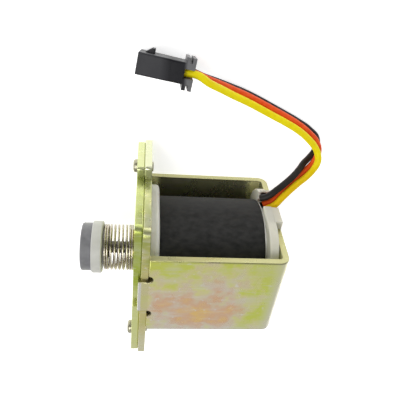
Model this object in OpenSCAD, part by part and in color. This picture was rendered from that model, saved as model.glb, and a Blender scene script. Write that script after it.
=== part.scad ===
// Gas solenoid valve: a plunger magnet in a U-shaped yoke, with a sprung valve head on its plunger.
// It lies on one leg of the yoke. +X runs along the plunger towards the seal, and +Z is up.
// The origin is on the surface below, under the middle of the valve without its leads.

/* [Yoke] */
// Thickness of the yoke strip
strip_t = 1.6; // [1.2:0.1:2]
// Width of the yoke strip
strip_w = 24; // [22:0.5:27]
// Distance over the two legs of the yoke
yoke_h = 32.5; // [29:0.5:36]
// Length of the yoke from the plate to the outside of its base
yoke_len = 31.5; // [28:0.5:36]
// Inside radius of the bends
bend_r = 0.8; // [0.4:0.1:1.4]
// Width of the tab at each leg's end
tab_w = 10; // [6:0.5:14]
// How far a tab stands out of the inner plate
tab_past = 0.55; // [0.3:0.05:1]
// Radius of the relief cuts beside the tabs
relief_r = 0.9; // [0.5:0.1:1.2]
// Width of the notch for the leads in the base
notch_w = 12.8; // [11:0.2:14]
// Depth of that notch
notch_d = 3; // [2:0.2:4]

/* [Plates] */
// Thickness of the inner plate
yoke_plate_t = 1.75; // [1.5:0.05:2.2]
// Thickness of the outer plate
flange_plate_t = 1.75; // [1.4:0.05:2.2]
// How far the inner plate stops short of the legs' outside
plate_short = 0.75; // [0.5:0.05:1.2]
// Length of the inner plate between its ears
plate_len = 38.8; // [37:0.2:42]
// How far the two ears stand out
ear_out = 3.5; // [2.5:0.1:4.5]
// Width of an ear
ear_w = 12.6; // [9:0.2:14]
// Corner radius of the plates
plate_corner_r = 2; // [1:0.1:3]
// Corner radius of the ears
ear_corner_r = 0.7; // [0.3:0.1:2]
// How much narrower the outer plate is on each side
plate_step = 0.7; // [0.4:0.1:1.4]
// How much longer the outer plate is at each end, beside its ears
flange_longer = 0.4; // [0.2:0.1:0.8]
// How much shorter the outer plate's ears are
ear_shorter = 0.2; // [0.1:0.1:0.8]
// Room below the tabs in the outer plate's notches
tab_room = 1.2; // [0.6:0.1:1.6]
// Mounting hole diameter
bolt_hole_d = 3.4; // [2.6:0.1:3.6]
// Mounting hole distance from the inner plate's end
bolt_from_end = 4.2; // [3.6:0.1:4.4]
// Mounting hole distance from the inner plate's side
bolt_from_side = 4.1; // [3.7:0.1:4.3]
// Rivet shank diameter
rivet_d = 2; // [1.6:0.1:2.6]
// Rivet head diameter
rivet_head_d = 3.4; // [2.9:0.1:4]
// Rivet head height
rivet_head_h = 1.1; // [0.7:0.1:1.4]
// Height of the closed rivet tail
rivet_tail_h = 0.5; // [0.3:0.1:0.8]
// Rivet distance from the end of the inner plate's ear
rivet_from_end = 5.4; // [4.1:0.1:5.6]
// Rivet distance from the inner plate's side
rivet_from_side = 4.2; // [3.9:0.1:6.5]

/* [Coil] */
// Corner radius of a bobbin flange
flange_corner_r = 9; // [6:0.5:12]
// Thickness of a bobbin flange
flange_t = 2.2; // [1.6:0.1:2.6]
// Wall of the bobbin's tube
bobbin_wall = 1; // [0.7:0.1:1.4]
// Share of the windings' depth that is the pull-in winding
pull_share = 0.55; // [0.4:0.05:0.65]
// How far the windings stay below the flanges' flats
coil_below = 1.3; // [1.2:0.1:2.2]
// Thickness of the liner under the tape
liner_t = 0.2; // [0.1:0.05:0.3]
// Thickness of the tape
tape_t = 0.45; // [0.3:0.05:0.6]
// How far the tape stops short of the rear flange
tape_short = 0.35; // [0.2:0.05:0.8]
// Width of the slot for the leads in the rear flange
slot_w = 6; // [5.6:0.1:6.6]
// How far the slot lies below the axis
slot_drop = 4.1; // [4:0.1:4.3]
// Depth of the slot below the flange's edge
slot_d = 3.3; // [3.1:0.1:4]
// How far the lead outlet stands out of the base
outlet_out = 0.1; // [0.05:0.05:1.5]
// Height of the lead outlet above the slot's floor
outlet_h = 3.2; // [1:0.1:3.2]

/* [Plunger] */
// Outside diameter of the guide sleeve
sleeve_d = 9; // [8:0.1:9.6]
// Wall of the guide sleeve
sleeve_wall = 0.3; // [0.2:0.05:0.5]
// Diameter of the sleeve's flange
sleeve_flange_d = 13.6; // [12:0.2:15]
// Thickness of the sleeve's flange
sleeve_flange_t = 0.4; // [0.3:0.05:0.6]
// Thickness of the ring that seals the sleeve
o_ring_d = 0.8; // [0.6:0.05:0.9]
// Length of the fixed core inside the sleeve
core_len = 12.4; // [9:0.2:14]
// Diameter of the stud that rivets the core to the base
stud_d = 5; // [4:0.2:6]
// Height of the stud's head outside the base
stud_head_h = 1; // [0.4:0.1:1.2]
// Diameter of the stud's head
stud_head_d = 6.8; // [6:0.2:8]
// Thickness of the shim on the core
shim_t = 0.25; // [0.1:0.05:0.4]
// Stroke of the plunger
stroke = 2.2; // [1.5:0.1:2.3]
// Diameter of the plunger's stem
stem_d = 3; // [2.6:0.1:3.4]
// How deep the stem sits in the plunger
stem_grip = 6; // [4:0.5:9]

/* [Valve head] */
// Diameter of the seal pad
seal_d = 12.1; // [10:0.1:12.6]
// Thickness of the seal pad
seal_t = 2.65; // [2:0.05:4]
// Diameter of the valve disc
disc_d = 13.2; // [13:0.1:15]
// Thickness of the valve disc
disc_t = 2.6; // [1.8:0.05:3]
// Height of the hub behind the disc
hub_h = 1.3; // [0.8:0.1:1.8]
// Diameter over the return spring
spring_d = 11.7; // [11:0.1:12.2]
// Wire of the return spring
spring_wire = 0.55; // [0.4:0.05:0.6]
// Length of the return spring in place
spring_len = 7.85; // [7.75:0.05:9]
// Turns that lie closed at each end of the spring
spring_closed = 2; // [1:0.5:2]
// Open turns of the spring
spring_open = 5; // [4:0.5:5]
// Length of the bush's collar inside the spring
collar_h = 1.2; // [0.8:0.1:1.6]

/* [Leads] */
// Diameter of a lead
lead_d = 1.7; // [1.4:0.05:1.75]
// Spacing of the three leads along their run
lead_pitch = 1.8; // [1.76:0.02:1.9]
// Spacing of the contacts in the plug
contact_pitch = 2.5; // [2.5:0.1:3]
// Length of the plug in front of its rear flange
plug_len = 10; // [9:0.1:13]
// Thickness of the plug
plug_t = 4.6; // [4.4:0.1:6]
// Wall of the plug beside its outer contacts
plug_side = 2.6; // [2.4:0.1:3]
// Thickness of the plug's rear flange
plug_flange_t = 2.1; // [1.6:0.1:2.6]
// How far the rear flange stands out of the plug
plug_flange_out = 1.1; // [0.7:0.1:1.2]

/* [Fits] */
// Gap between pieces that are pressed or clamped together
press_gap = 0.02; // [0.01:0.01:0.04]
// Radial clearance of the stem in its bush
stem_gap = 0.05; // [0.02:0.01:0.1]
// Radial clearance of the plunger in the sleeve
plunger_gap = 0.08; // [0.03:0.01:0.1]
// Clearance of moulded and stamped pieces in their places
loose_gap = 0.1; // [0.05:0.05:0.2]

/* [Hidden] */
$fn = 48;
eps = 0.01;

// Stations along the plunger's axis, from the coil side of the inner plate towards the seal
plates_front = yoke_plate_t + flange_plate_t;
disc_back = plates_front + spring_len;
seal_back = disc_back + disc_t;
seal_face = seal_back + seal_t;
base_in = -(yoke_len - strip_t);
base_out = -yoke_len;
outlet_end = base_out - outlet_out;
rear_end = min(outlet_end, base_out - stud_head_h);
front_flange_back = -flange_t;
rear_flange_back = base_in + loose_gap;
rear_flange_front = rear_flange_back + flange_t;
coil_front = front_flange_back - press_gap;
coil_back = rear_flange_front + press_gap;
core_front = base_in + core_len;
shim_front = core_front + shim_t;

// Middle of the notch for the leads, which the slot lies below
slot_below_mid = 2.4;
notch_mid = slot_below_mid - slot_drop;

// Plates that fit between the legs' outsides, and the places of their holes
plate_w = yoke_h - 2 * plate_short;
rivet_along = plate_len / 2 + ear_out - rivet_from_end;
rivet_across = plate_w / 2 - rivet_from_side;
bolt_along = plate_len / 2 - bolt_from_end;
bolt_across = plate_w / 2 - bolt_from_side;

// Place of the axis, and of the inner plate's coil side, in the part's frame
axis_h = yoke_h / 2;
plate_x = -(seal_face + rear_end) / 2;

// Small sizes that have one natural value
spring_room = 0.7;
bush_wall = 1.5;
bush_stop_t = 0.55;
stem_head_t = 0.75;
stem_head_over = 1.2;
clip_t = 0.45;
clip_depth = 0.25;
clip_over = 1.1;
plunger_chamfer = 0.4;
disc_edge = 0.3;
seal_edge = 0.3;
tape_lap_t = 0.2;
tape_lap_w = 9;
rivet_tail_over = 0.2;
dome_step = 15;
spring_sides = 6;
spring_steps = 14;

// Radii that follow from the sizes above
leg_in = yoke_h / 2 - strip_t;
// The rear flange clears the round inside of the bends
bend_take = bend_r - sqrt(loose_gap * (2 * bend_r - loose_gap));
flange_size = 2 * (leg_in - bend_take - press_gap);
sleeve_r = sleeve_d / 2;
sleeve_in_r = sleeve_r - sleeve_wall;
bobbin_bore_r = sleeve_r + loose_gap;
tube_r = bobbin_bore_r + bobbin_wall;
coil_r = flange_size / 2 - coil_below;
pull_r = tube_r + pull_share * (coil_r - tube_r);
liner_r = coil_r + liner_t;
tape_r = liner_r + tape_t;
stem_r = stem_d / 2;
spring_in_r = spring_d / 2 - spring_wire;
collar_r = spring_in_r - spring_room;
bush_r = stem_r + bush_wall;
plunger_r = sleeve_in_r - plunger_gap;

// Recess of the sleeve's flange and its ring in the inner plate
recess_d = o_ring_d + sleeve_flange_t;
sleeve_flange_back = yoke_plate_t - recess_d;
sleeve_flange_front = sleeve_flange_back + sleeve_flange_t;

// Stop collar of the bush and travel of the plunger
bush_back = yoke_plate_t - bush_stop_t;
plunger_front = bush_back - loose_gap;
plunger_back = shim_front + stroke + loose_gap;
stem_head_r = stem_r + stem_head_over;
clip_groove_r = stem_r - clip_depth;
clip_front = disc_back - hub_h;

// Row of contacts in the plug, and the plug's place on the surface
plug_w = 2 * contact_pitch + 2 * plug_side;
plug_at = [2.2, -44, 6.4];
plug_yaw = -7;
plug_pitch = 5;
plug_roll = 18;
plug_corner_r = 0.4;
rib_share = 0.38;
ramp_w = 4;
ramp_h = 1.1;
ramp_back = 3.3;
ramp_top = 0.7;
ramp_front = 0.9;
contact_w = 1.5;
contact_t = 0.25;
contact_back = 1.5;
crimp_start = 0.6;
crimp_len = 3;

// Middle lead from the plug over the surface: place, lean of the upper and of the lower lead
lead_ground = [
    [2.2, -44, 6.4, 18, 18], [-0.4, -43.7, 6.6, 18, 18], [-3.1, -42.5, 6.2, 4, 17],
    [-6.3, -41, 5.1, -8, 13], [-9.7, -39.3, 3.9, -17, 9], [-13.2, -37.7, 3.1, -22, 6],
    [-17, -35.9, 2.7, -25, 4], [-20.6, -34.2, 2.7, -25, 4], [-24.4, -32.4, 2.7, -25, 4],
    [-28.1, -30.4, 2.7, -25, 0], [-31.2, -28.2, 2.7, -28, -10], [-33.8, -25.6, 2.7, -28, -12],
    [-34.7, -23.2, 3.1, -20, 10], [-34.2, -20.9, 3.8, -5, 36], [-32.7, -19.2, 4.7, 2, 62]];
// The same lead up to the bobbin, from the mouth of its slot
lead_rise = [
    [-7.15, -7.1, -6.15, 3, 87], [-4.95, -6.1, -4.65, 1, 105], [-2.65, -4.9, -3.05, 3, 110],
    [-0.55, -3.6, -1.55, 6, 104], [1.2, -2.2, -0.45, 7, 86], [3.1, -1.3, -0.1, 8, 64]];
slot_mouth = [plate_x + outlet_end, slot_d - flange_size / 2, axis_h - slot_drop, 0, 0];
lead_route = concat(lead_ground, [for (p = lead_rise) slot_mouth + p]);
lead_last = len(lead_route) - 1;
lead_sides = 8;
// Points over which the leads close up from the plug's spacing to their own
lead_gather = 3;

function unit(v) = v / norm(v);
function route_at(i) = [for (k = [0:2]) lead_route[i][k]];
function route_along(i) =
    unit(route_at(min(i + 1, lead_last)) - route_at(max(i - 1, 0)));
function spread(i) = max(lead_pitch, contact_pitch - (contact_pitch - lead_pitch) * i / lead_gather);
// Direction from the middle lead to the upper one, turned by its lean about the run
function lean_dir(i, lean) =
    let (t = route_along(i), left = unit([-t[1], t[0], 0]), up = cross(t, left))
    cos(lean) * up + sin(lean) * left;
function upper_at(i) = route_at(i) + spread(i) * lean_dir(i, lead_route[i][3]);
function lower_at(i) = route_at(i) - spread(i) * lean_dir(i, lead_route[i][4]);

// A round tube through a list of points, as rings joined by flat sides
function ring_along(p, i) = unit(p[min(i + 1, len(p) - 1)] - p[max(i - 1, 0)]);
function ring_side(p, i) =
    let (t = ring_along(p, i)) unit(cross(t, abs(t[2]) < 0.9 ? [0, 0, 1] : [1, 0, 0]));
function ring_points(p, r, n) = [for (i = [0:len(p) - 1])
    let (t = ring_along(p, i), u = ring_side(p, i), v = cross(t, u))
    for (k = [0:n - 1]) p[i] + r * (cos(360 * k / n) * u + sin(360 * k / n) * v)];
function ring_faces(m, n) = concat(
    [[for (k = [0:n - 1]) k]],
    [for (i = [0:m - 2], k = [0:n - 1]) let (a = i * n + k, b = i * n + (k + 1) % n)
        each [[a, a + n, b], [b, a + n, b + n]]],
    [[for (k = [n - 1:-1:0]) (m - 1) * n + k]]);
module tube_along(p, r, n) {
    polyhedron(ring_points(p, r, n), ring_faces(len(p), n), convexity = 8);
}

// Distance of a spring turn from the spring's first turn, closed at the ends and open between
spring_pitch_closed = spring_wire + 2 * press_gap;
spring_pitch_open = (spring_len - spring_wire - 2 * press_gap
    - 2 * spring_closed * spring_pitch_closed) / spring_open;
function spring_at(a) =
    let (open = max(0, min(spring_open, a - spring_closed)))
    (a - open) * spring_pitch_closed + open * spring_pitch_open;

// Puts a shape that is built along the plunger's axis into the part's frame
module on_axis() {
    translate([plate_x, 0, axis_h]) children();
}

// A solid of revolution about the plunger's axis, between two stations
module round_bar(r, from, to) {
    translate([from, 0, 0]) rotate([0, 90, 0]) cylinder(r = r, h = to - from);
}
module round_ring(r_out, r_in, from, to) {
    difference() {
        round_bar(r_out, from, to);
        round_bar(r_in, from - eps, to + eps);
    }
}

// A flat outline across the axis, thickened between two stations
module slab(from, to) {
    translate([from, 0, 0]) rotate([90, 0, 90]) linear_extrude(to - from) children();
}
module rounded_rect(w, h, r) {
    square([w - 2 * r, h], center = true);
    square([w, h - 2 * r], center = true);
    for (sx = [-1, 1], sy = [-1, 1]) translate([sx * (w / 2 - r), sy * (h / 2 - r)]) circle(r);
}

// Outline of a plate with its two diagonal ears: narrower on each side, longer at each end, shorter ears
module plate_outline(narrower, longer, shorter) {
    w = plate_w - 2 * narrower;
    reach = plate_len / 2 + ear_out - shorter;
    rounded_rect(plate_len + 2 * longer, w, plate_corner_r);
    for (side = [0, 180]) rotate(side) translate([reach / 2, w / 2 - (ear_w - narrower) / 2])
        rounded_rect(reach, ear_w - narrower, ear_corner_r);
}
module plate_holes() {
    for (side = [0, 180]) rotate(side) {
        translate([rivet_along, rivet_across]) circle(rivet_d / 2 + press_gap);
        translate([-bolt_along, bolt_across]) circle(bolt_hole_d / 2);
    }
}

// Notches for the yoke's tabs, with room below each tab
module tab_notches(room) {
    for (leg = [0, 180]) rotate(leg) translate([-tab_w / 2 - loose_gap, leg_in - room])
        square([tab_w + 2 * loose_gap, strip_t + room + loose_gap]);
}

// Bent strip: two legs and a base, with a tab on each leg and a notch for the leads
module yoke_frame() {
    color([0.80, 0.78, 0.52]) on_axis() difference() {
        union() {
            rotate([90, 0, 0]) linear_extrude(strip_w, center = true) intersection() {
                difference() {
                    rounded_rect(2 * yoke_len, yoke_h, bend_r + strip_t);
                    rounded_rect(2 * (yoke_len - strip_t), 2 * leg_in, bend_r);
                }
                translate([base_out, -yoke_h / 2]) square([yoke_len, yoke_h]);
            }
            for (leg = [0, 180]) rotate([leg, 0, 0])
                translate([-strip_t, -tab_w / 2, leg_in])
                    cube([strip_t + yoke_plate_t + tab_past, tab_w, strip_t]);
        }
        for (leg = [0, 180], side = [-1, 1]) rotate([leg, 0, 0])
            translate([0, side * (tab_w / 2 + relief_r), leg_in - eps])
                cylinder(r = relief_r, h = strip_t + 2 * eps);
        translate([base_out - eps, -strip_w / 2 - eps, notch_mid - notch_w / 2])
            cube([strip_t + 2 * eps, notch_d + eps, notch_w]);
        round_bar(stud_d / 2 + press_gap, base_out - eps, base_in + eps);
    }
}

// Inner plate: closes the yoke, takes the legs' tabs and the flange of the guide sleeve
module yoke_plate() {
    color([0.78, 0.78, 0.50]) on_axis() difference() {
        slab(0, yoke_plate_t) difference() {
            plate_outline(0, 0, 0);
            plate_holes();
            tab_notches(loose_gap);
        }
        round_bar(sleeve_r + loose_gap, -eps, yoke_plate_t);
        round_bar(sleeve_flange_d / 2 + loose_gap, sleeve_flange_back, yoke_plate_t + eps);
    }
}

// Outer plate: lies on the gas body, and holds the bush of the stem
module flange_plate() {
    color([0.75, 0.77, 0.45]) on_axis() slab(yoke_plate_t, plates_front) difference() {
        plate_outline(plate_step, flange_longer, ear_shorter);
        plate_holes();
        tab_notches(tab_room);
        circle(bush_r + press_gap);
    }
}

// Two rivets through both plates: a round-edged head on the outer one, a closed tail on the inner one
module plate_rivets() {
    head_r = rivet_head_d / 2;
    tail_r = rivet_d / 2 + rivet_tail_over;
    dome = [for (a = [0:dome_step:90])
        [head_r * sqrt(cos(a)), plates_front + rivet_head_h * sqrt(sin(a))]];
    color([0.62, 0.61, 0.56]) on_axis() for (side = [0, 180]) rotate([side, 0, 0])
        translate([0, rivet_along, rivet_across]) rotate([0, 90, 0]) rotate_extrude()
            polygon(concat([[0, -rivet_tail_h], [tail_r, -rivet_tail_h], [tail_r, 0], [rivet_d / 2, 0],
                [rivet_d / 2, plates_front]], dome));
}

// Moulded spool: tube, two flanges with broad round corners, and the outlet for the leads
module bobbin() {
    slot_floor = flange_size / 2 - slot_d;
    outlet_low = strip_w / 2 - notch_d + loose_gap;
    color([0.90, 0.90, 0.87]) on_axis() difference() {
        union() {
            round_bar(tube_r, rear_flange_back, -press_gap);
            slab(front_flange_back, -press_gap) rounded_rect(flange_size, flange_size, flange_corner_r);
            slab(rear_flange_back, rear_flange_front)
                rounded_rect(flange_size, flange_size, flange_corner_r);
            translate([outlet_end, -slot_floor - outlet_h, notch_mid - notch_w / 2 + loose_gap])
                cube([rear_flange_front - outlet_end, slot_floor + outlet_h - outlet_low,
                    notch_w - 2 * loose_gap]);
        }
        round_bar(bobbin_bore_r, rear_flange_back - eps, 0);
        translate([outlet_end - eps, -flange_size / 2 - eps, -slot_drop - slot_w / 2])
            cube([rear_flange_front - outlet_end + 2 * eps, slot_d + eps, slot_w]);
    }
}

// Inner winding of thick wire, which pulls the plunger in
module pull_winding() {
    color([0.72, 0.40, 0.20]) on_axis() round_ring(pull_r, tube_r + press_gap, coil_back, coil_front);
}

// Outer winding of thin wire, which holds the plunger
module hold_winding() {
    color([0.66, 0.34, 0.18]) on_axis() round_ring(coil_r, pull_r + press_gap, coil_back, coil_front);
}

// White liner between the winding and the tape, a little longer than the tape
module insulation_liner() {
    color([0.93, 0.93, 0.90]) on_axis() round_ring(liner_r, coil_r + press_gap, coil_back, coil_front);
}

// Cloth tape wound round the coil, with its end lapped on the side away from the leads
module insulation_tape() {
    tape_back = rear_flange_front + tape_short;
    color([0.13, 0.13, 0.13]) on_axis() {
        round_ring(tape_r, liner_r + press_gap, tape_back, coil_front);
        intersection() {
            round_ring(tape_r + tape_lap_t, tape_r - eps, tape_back, coil_front);
            translate([tape_back, 0, -tape_lap_w / 2])
                cube([coil_front - tape_back, 2 * tape_r, tape_lap_w]);
        }
    }
}

// Thin tube that the plunger slides in, with a flange that seals it between the plates
module guide_sleeve() {
    color([0.80, 0.72, 0.45]) on_axis() difference() {
        union() {
            round_bar(sleeve_r, base_in + press_gap, sleeve_flange_front);
            round_bar(sleeve_flange_d / 2, sleeve_flange_back, sleeve_flange_front);
        }
        round_bar(sleeve_in_r, base_in, sleeve_flange_front + eps);
    }
}

// Rubber ring pressed between the sleeve's flange and the outer plate
module sleeve_o_ring() {
    color([0.10, 0.10, 0.10]) on_axis()
        translate([(sleeve_flange_front + yoke_plate_t) / 2, 0, 0]) rotate([0, 90, 0])
            rotate_extrude() translate([(sleeve_r + sleeve_flange_d / 2) / 2, 0])
                circle(o_ring_d / 2 - press_gap);
}

// Pole piece in the end of the sleeve, riveted through the base of the yoke
module fixed_core() {
    color([0.62, 0.62, 0.60]) on_axis() {
        round_bar(sleeve_in_r - press_gap, base_in + press_gap, core_front);
        round_bar(stud_d / 2, base_out, base_in + press_gap + eps);
        round_bar(stud_head_d / 2, base_out - stud_head_h, base_out);
    }
}

// Brass disc on the pole face, so that the plunger lets go
module antistick_shim() {
    color([0.78, 0.62, 0.30]) on_axis() round_bar(sleeve_in_r - press_gap, core_front, shim_front);
}

// Bush in the outer plate: guides the stem, stops the plunger and centres the spring
module plate_bush() {
    color([0.78, 0.66, 0.36]) on_axis() difference() {
        union() {
            round_bar(sleeve_r, bush_back, yoke_plate_t);
            round_bar(bush_r, bush_back, plates_front + collar_h);
            round_bar(collar_r, plates_front, plates_front + collar_h);
        }
        round_bar(stem_r + stem_gap, bush_back - eps, plates_front + collar_h + eps);
    }
}

// Moving core, with its ends chamfered and a bore for the stem
module plunger() {
    c = plunger_chamfer;
    color([0.66, 0.66, 0.64]) on_axis() rotate([0, 90, 0]) rotate_extrude() polygon([
        [0, plunger_back], [plunger_r - c, plunger_back], [plunger_r, plunger_back + c],
        [plunger_r, plunger_front - c], [plunger_r - c, plunger_front],
        [stem_r + press_gap, plunger_front], [stem_r + press_gap, plunger_front - stem_grip],
        [0, plunger_front - stem_grip]]);
}

// Rod from the plunger to the valve head, with a groove for the clip and a head under the seal
module plunger_stem() {
    color([0.38, 0.37, 0.35]) on_axis() difference() {
        union() {
            round_bar(stem_r, plunger_front - stem_grip + press_gap, seal_back + eps);
            round_bar(stem_head_r, seal_back, seal_back + stem_head_t);
        }
        round_ring(stem_r + eps, clip_groove_r, clip_front - clip_t - loose_gap, clip_front);
    }
}

// Plastic disc on the stem, with a hub that centres the spring
module valve_disc() {
    c = disc_edge;
    color([0.88, 0.88, 0.88]) on_axis() rotate([0, 90, 0]) rotate_extrude() polygon([
        [stem_r + press_gap, clip_front], [collar_r - c, clip_front], [collar_r, clip_front + c],
        [collar_r, disc_back], [disc_d / 2 - c, disc_back], [disc_d / 2, disc_back + c],
        [disc_d / 2, seal_back - c], [disc_d / 2 - c, seal_back], [stem_r + press_gap, seal_back]]);
}

// Rubber pad that closes the gas seat, moulded over the stem's head
module seal_pad() {
    c = seal_edge;
    pocket_r = stem_head_r + press_gap;
    pocket_end = seal_back + stem_head_t + press_gap;
    color([0.42, 0.43, 0.45]) on_axis() rotate([0, 90, 0]) rotate_extrude() polygon([
        [pocket_r, seal_back], [seal_d / 2, seal_back], [seal_d / 2, seal_face - c],
        [seal_d / 2 - c, seal_face], [0, seal_face], [0, pocket_end], [pocket_r, pocket_end]]);
}

// Open ring in the stem's groove, behind the disc
module disc_clip() {
    color([0.45, 0.45, 0.45]) on_axis() difference() {
        round_ring(stem_r + clip_over, clip_groove_r + press_gap,
            clip_front - clip_t - press_gap, clip_front - press_gap);
        translate([clip_front - clip_t - loose_gap, -clip_groove_r, 0])
            cube([clip_t + loose_gap, 2 * clip_groove_r, 2 * stem_d]);
    }
}

// Compression spring: close turns at both ends and open turns between them
module return_spring() {
    coil_r_mid = spring_d / 2 - spring_wire / 2;
    turns = 2 * spring_closed + spring_open;
    steps = round(turns * spring_steps);
    path = [for (i = [0:steps]) let (a = turns * i / steps)
        [plates_front + press_gap + spring_wire / 2 + spring_at(a),
            coil_r_mid * cos(360 * a), coil_r_mid * sin(360 * a)]];
    color([0.66, 0.63, 0.58]) on_axis() tube_along(path, spring_wire / 2, spring_sides);
}

// The three leads, from the plug over the surface to the slot in the bobbin
module black_lead() {
    color([0.12, 0.12, 0.12])
        tube_along([for (i = [0:lead_last]) lower_at(i)], lead_d / 2, lead_sides);
}
module red_lead() {
    color([0.80, 0.10, 0.08])
        tube_along([for (i = [0:lead_last]) route_at(i)], lead_d / 2, lead_sides);
}
module yellow_lead() {
    color([0.93, 0.78, 0.05])
        tube_along([for (i = [0:lead_last]) upper_at(i)], lead_d / 2, lead_sides);
}

// Puts a shape that is built along the plug into its place beside the valve
module on_plug() {
    translate(plug_at) rotate([plug_roll, plug_pitch, plug_yaw]) children();
}

// Three-way plug: a block with a passage for each contact, a locking ramp, and finger ribs on both sides
// of an open channel for the leads
module connector_housing() {
    rib = plug_flange_t * rib_share;
    channel = lead_d + 2 * loose_gap;
    color([0.11, 0.11, 0.12]) on_plug() difference() {
        union() {
            slab(-plug_flange_t, plug_len) rounded_rect(plug_t, plug_w, plug_corner_r);
            for (x = [-plug_flange_t, -rib]) slab(x, x + rib)
                rounded_rect(plug_t + 2 * plug_flange_out, plug_w, plug_corner_r);
            translate([plug_len, -plug_t / 2, -ramp_w / 2]) linear_extrude(ramp_w) polygon([
                [-ramp_back, eps], [-ramp_back, -ramp_h], [-ramp_back + ramp_top, -ramp_h],
                [-ramp_front, eps]]);
        }
        translate([-plug_flange_t - eps, -channel / 2, -plug_w / 2 - eps])
            cube([plug_flange_t + eps, channel, plug_w + 2 * eps]);
        for (k = [-1:1]) translate([0, 0, k * contact_pitch]) {
            translate([crimp_len, -contact_w / 2 - loose_gap, -contact_w / 2 - loose_gap])
                cube([plug_len, contact_w + 2 * loose_gap, contact_w + 2 * loose_gap]);
            round_bar(channel / 2, -eps, crimp_len + eps);
        }
    }
}

// Crimp sockets: a barrel on the wire behind, an open box for the mating pin in front
module connector_contacts() {
    box_end = plug_len - loose_gap - contact_back;
    color([0.75, 0.74, 0.70]) on_plug() for (k = [-1:1]) translate([0, 0, k * contact_pitch])
        difference() {
            union() {
                round_bar(contact_w / 2, crimp_start, crimp_len + 2 * loose_gap);
                translate([crimp_len + loose_gap, -contact_w / 2, -contact_w / 2])
                    cube([box_end - crimp_len, contact_w, contact_w]);
            }
            translate([crimp_len + contact_w, -contact_w / 2 + contact_t, -contact_w / 2 + contact_t])
                cube([box_end, contact_w - 2 * contact_t, contact_w - 2 * contact_t]);
        }
}

yoke_frame();
yoke_plate();
flange_plate();
plate_rivets();
bobbin();
pull_winding();
hold_winding();
insulation_liner();
insulation_tape();
guide_sleeve();
sleeve_o_ring();
fixed_core();
antistick_shim();
plate_bush();
plunger();
plunger_stem();
valve_disc();
seal_pad();
disc_clip();
return_spring();
black_lead();
red_lead();
yellow_lead();
connector_housing();
connector_contacts();
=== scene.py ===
# Gas solenoid valve: the looks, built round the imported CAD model.
# Every length is in metres, in the CAD frame: +X along the plunger to the seal, +Z up, floor at 0.
import math
import bmesh
import bpy
from mathutils import Matrix, Vector


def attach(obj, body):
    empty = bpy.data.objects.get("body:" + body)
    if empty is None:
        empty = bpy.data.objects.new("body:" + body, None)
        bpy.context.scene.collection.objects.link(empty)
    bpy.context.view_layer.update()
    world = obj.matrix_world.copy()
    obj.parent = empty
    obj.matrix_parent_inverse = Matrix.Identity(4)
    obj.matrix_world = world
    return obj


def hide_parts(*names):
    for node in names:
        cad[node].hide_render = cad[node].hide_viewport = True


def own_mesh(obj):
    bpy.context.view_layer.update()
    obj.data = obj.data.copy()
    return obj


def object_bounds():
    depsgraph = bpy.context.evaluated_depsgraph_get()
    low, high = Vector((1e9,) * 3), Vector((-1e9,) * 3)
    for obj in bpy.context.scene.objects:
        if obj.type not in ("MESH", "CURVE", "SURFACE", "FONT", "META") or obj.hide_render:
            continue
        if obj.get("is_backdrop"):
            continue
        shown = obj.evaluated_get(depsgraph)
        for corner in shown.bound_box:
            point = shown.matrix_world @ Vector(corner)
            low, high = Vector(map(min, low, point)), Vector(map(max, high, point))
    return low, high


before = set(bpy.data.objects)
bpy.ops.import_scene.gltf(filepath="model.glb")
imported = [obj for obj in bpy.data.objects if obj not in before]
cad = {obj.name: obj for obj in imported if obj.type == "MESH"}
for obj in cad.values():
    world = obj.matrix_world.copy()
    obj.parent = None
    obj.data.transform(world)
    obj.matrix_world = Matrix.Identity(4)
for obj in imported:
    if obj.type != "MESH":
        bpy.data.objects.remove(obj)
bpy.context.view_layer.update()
scene = bpy.context.scene


# Camera
# The photograph looks down on the lead side from about 50 degrees, with the picture turned half round.
camera_data = bpy.data.cameras.new("camera")
camera_data.lens = 43.2
camera_data.sensor_width = 36
camera_data.clip_start = 0.01
camera = bpy.data.objects.new("camera", camera_data)
picture_right = Vector((-0.99157, -0.10717, 0.07288))
picture_up = Vector((0.03779, -0.77699, -0.62838))
turn = Matrix((picture_right, picture_up, picture_right.cross(picture_up))).transposed()
camera.matrix_world = Matrix.Translation((0.01053, -0.0873, 0.10486)) @ turn.to_4x4()
scene.collection.objects.link(camera)
scene.camera = camera


# Plug
# A three-way housing moulded in black nylon, with a locking ramp on one side. At the back it has two finger
# ribs on both sides of an open channel, where the leads enter. Each passage holds a tinned crimp socket.
PLUG_LEN = 0.01
PLUG_T = 0.0046
PLUG_W = 0.0102
PLUG_PITCH = 0.0025
PLUG_CORNER = 0.0004
PLUG_EDGE = 0.00014
PLUG_SUNK = 0.00003
PLUG_LAP = 0.0002
RIB_OUT = 0.0011
RIB_T = 0.0008
PLUG_FLANGE_T = 0.0021
PASSAGE = 0.00085
PASSAGE_START = 0.003
LEAD_HOLE_R = 0.00095
RAMP_W = 0.004
RAMP = ((-0.0033, 0.0002), (-0.0033, -0.0011), (-0.0026, -0.0011), (-0.0009, 0.0002))
# Where along X the ribs are lightened as a painted gloss highlight, and the front turns greyer: start, full,
# strength and grey
PLUG_RIB_HIGHLIGHT_AND_GREY = ((0.0025, 0.0017, 0.8, (0.20, 0.20, 0.205)), (0.0055, 0.0075, 0.7, (0.055, 0.055, 0.06)))
plug_place = (Matrix.Translation((0.0022, -0.044, 0.0064)) @ Matrix.Rotation(math.radians(-7), 4, "Z")
              @ Matrix.Rotation(math.radians(5), 4, "Y") @ Matrix.Rotation(math.radians(18), 4, "X"))
# Turns a flat outline (across, up) and its depth to (y, z) and x
ACROSS = Matrix(((0, 0, 1, 0), (1, 0, 0, 0), (0, 1, 0, 0), (0, 0, 0, 1)))


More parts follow.
